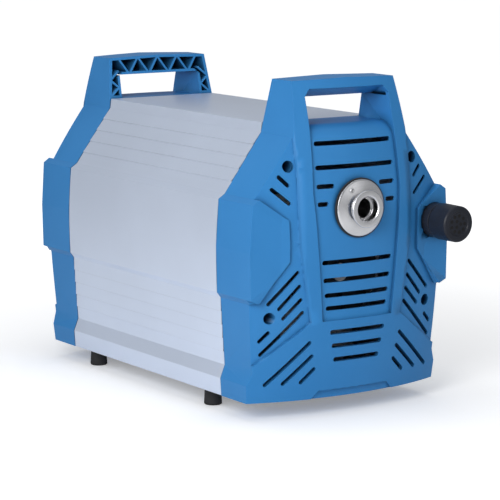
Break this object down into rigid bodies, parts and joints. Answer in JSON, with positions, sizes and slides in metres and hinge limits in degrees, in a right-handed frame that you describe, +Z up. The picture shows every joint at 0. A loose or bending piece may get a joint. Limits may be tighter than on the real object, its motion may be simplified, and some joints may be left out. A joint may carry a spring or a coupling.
{
  "type": "diaphragm vacuum pump",
  "caption": "Chemistry diaphragm vacuum pump with moulded end covers, carrying handles, aluminium hood and a motor driving opposed diaphragm heads.",
  "frame": {"origin": "on the floor under the middle of the pump's bounding box", "axes": "+Z up, -Y is the inlet side, +X to the right when looking at the inlet side"},
  "size_m": [0.2606, 0.5122, 0.3615],
  "materials": {
    "blue_plastic": "satin",
    "silver_shell": "satin",
    "zinc_steel": "satin",
    "black_rubber": "matte",
    "black_plastic": "satin",
    "stainless": "satin",
    "copper": "satin",
    "core_steel": "matte",
    "fluor_hose": "satin",
    "cast_aluminium": "matte"
  },
  "bodies": {
    "casing": {"base_plate": "zinc_steel", "capacitor": "zinc_steel", "cover_screws": "stainless", "foot_screws": "stainless", "front_bearing": "stainless", "front_cover": "blue_plastic", "front_crankcase": "cast_aluminium", "front_frame": "zinc_steel", "front_left_diaphragm": "black_rubber", "front_left_head": "cast_aluminium", "front_left_head_cover": "cast_aluminium", "front_left_valves": "black_rubber", "front_right_diaphragm": "black_rubber", "front_right_head": "cast_aluminium", "front_right_head_cover": "cast_aluminium", "front_right_valves": "black_rubber", "hood": "silver_shell", "inlet_branches": "fluor_hose", "inlet_manifold": "stainless", "inlet_port": "stainless", "inlet_seal": "black_rubber", "link_pipes": "fluor_hose", "mains_socket": "black_plastic", "motor_housing": "cast_aluminium", "outlet_pipe": "fluor_hose", "rear_bearing": "stainless", "rear_cover": "blue_plastic", "rear_crankcase": "cast_aluminium", "rear_frame": "zinc_steel", "rear_left_diaphragm": "black_rubber", "rear_left_head": "cast_aluminium", "rear_left_head_cover": "cast_aluminium", "rear_left_valves": "black_rubber", "rear_right_diaphragm": "black_rubber", "rear_right_head": "cast_aluminium", "rear_right_head_cover": "cast_aluminium", "rear_right_valves": "black_rubber", "rubber_feet": "black_rubber", "silencer_body": "black_plastic", "silencer_cap": "black_plastic", "stator_core": "core_steel", "stator_windings": "copper", "terminal_box": "black_plastic"},
    "rotor": {"main_shaft": "stainless", "rotor_core": "core_steel", "front_eccentric": "core_steel", "rear_eccentric": "core_steel", "front_fan": "black_plastic", "rear_fan": "black_plastic"},
    "front_rods": {"front_left_clamp_disc": "stainless", "front_left_rod": "cast_aluminium", "front_right_clamp_disc": "stainless", "front_right_rod": "cast_aluminium"},
    "rear_rods": {"rear_left_clamp_disc": "stainless", "rear_left_rod": "cast_aluminium", "rear_right_clamp_disc": "stainless", "rear_right_rod": "cast_aluminium"},
    "rocker": {"switch_rocker": "black_plastic"}
  },
  "joints": [
    {"name": "shaft_spin", "type": "hinge", "parent": "casing", "child": "rotor", "pos_m": [0, 0.0144, 0.15], "axis": [0, 1, 0], "continuous": true},
    {"name": "front_crank", "type": "hinge", "parent": "rotor", "child": "front_rods", "pos_m": [0, -0.1106, 0.1535], "axis": [0, 1, 0], "continuous": true, "deforming": ["front_left_diaphragm", "front_right_diaphragm"]},
    {"name": "rear_crank", "type": "hinge", "parent": "rotor", "child": "rear_rods", "pos_m": [0, 0.1394, 0.1465], "axis": [0, 1, 0], "continuous": true, "deforming": ["rear_left_diaphragm", "rear_right_diaphragm"]},
    {"name": "switch_tip", "type": "hinge", "parent": "casing", "child": "rocker", "pos_m": [0, 0.2481, 0.0885], "axis": [1, 0, 0], "range_deg": [-8, 8]}
  ],
  "couplings": [
    {"joint": "front_crank", "follows": "shaft_spin", "ratio": -1},
    {"joint": "rear_crank", "follows": "shaft_spin", "ratio": -1}
  ]
}
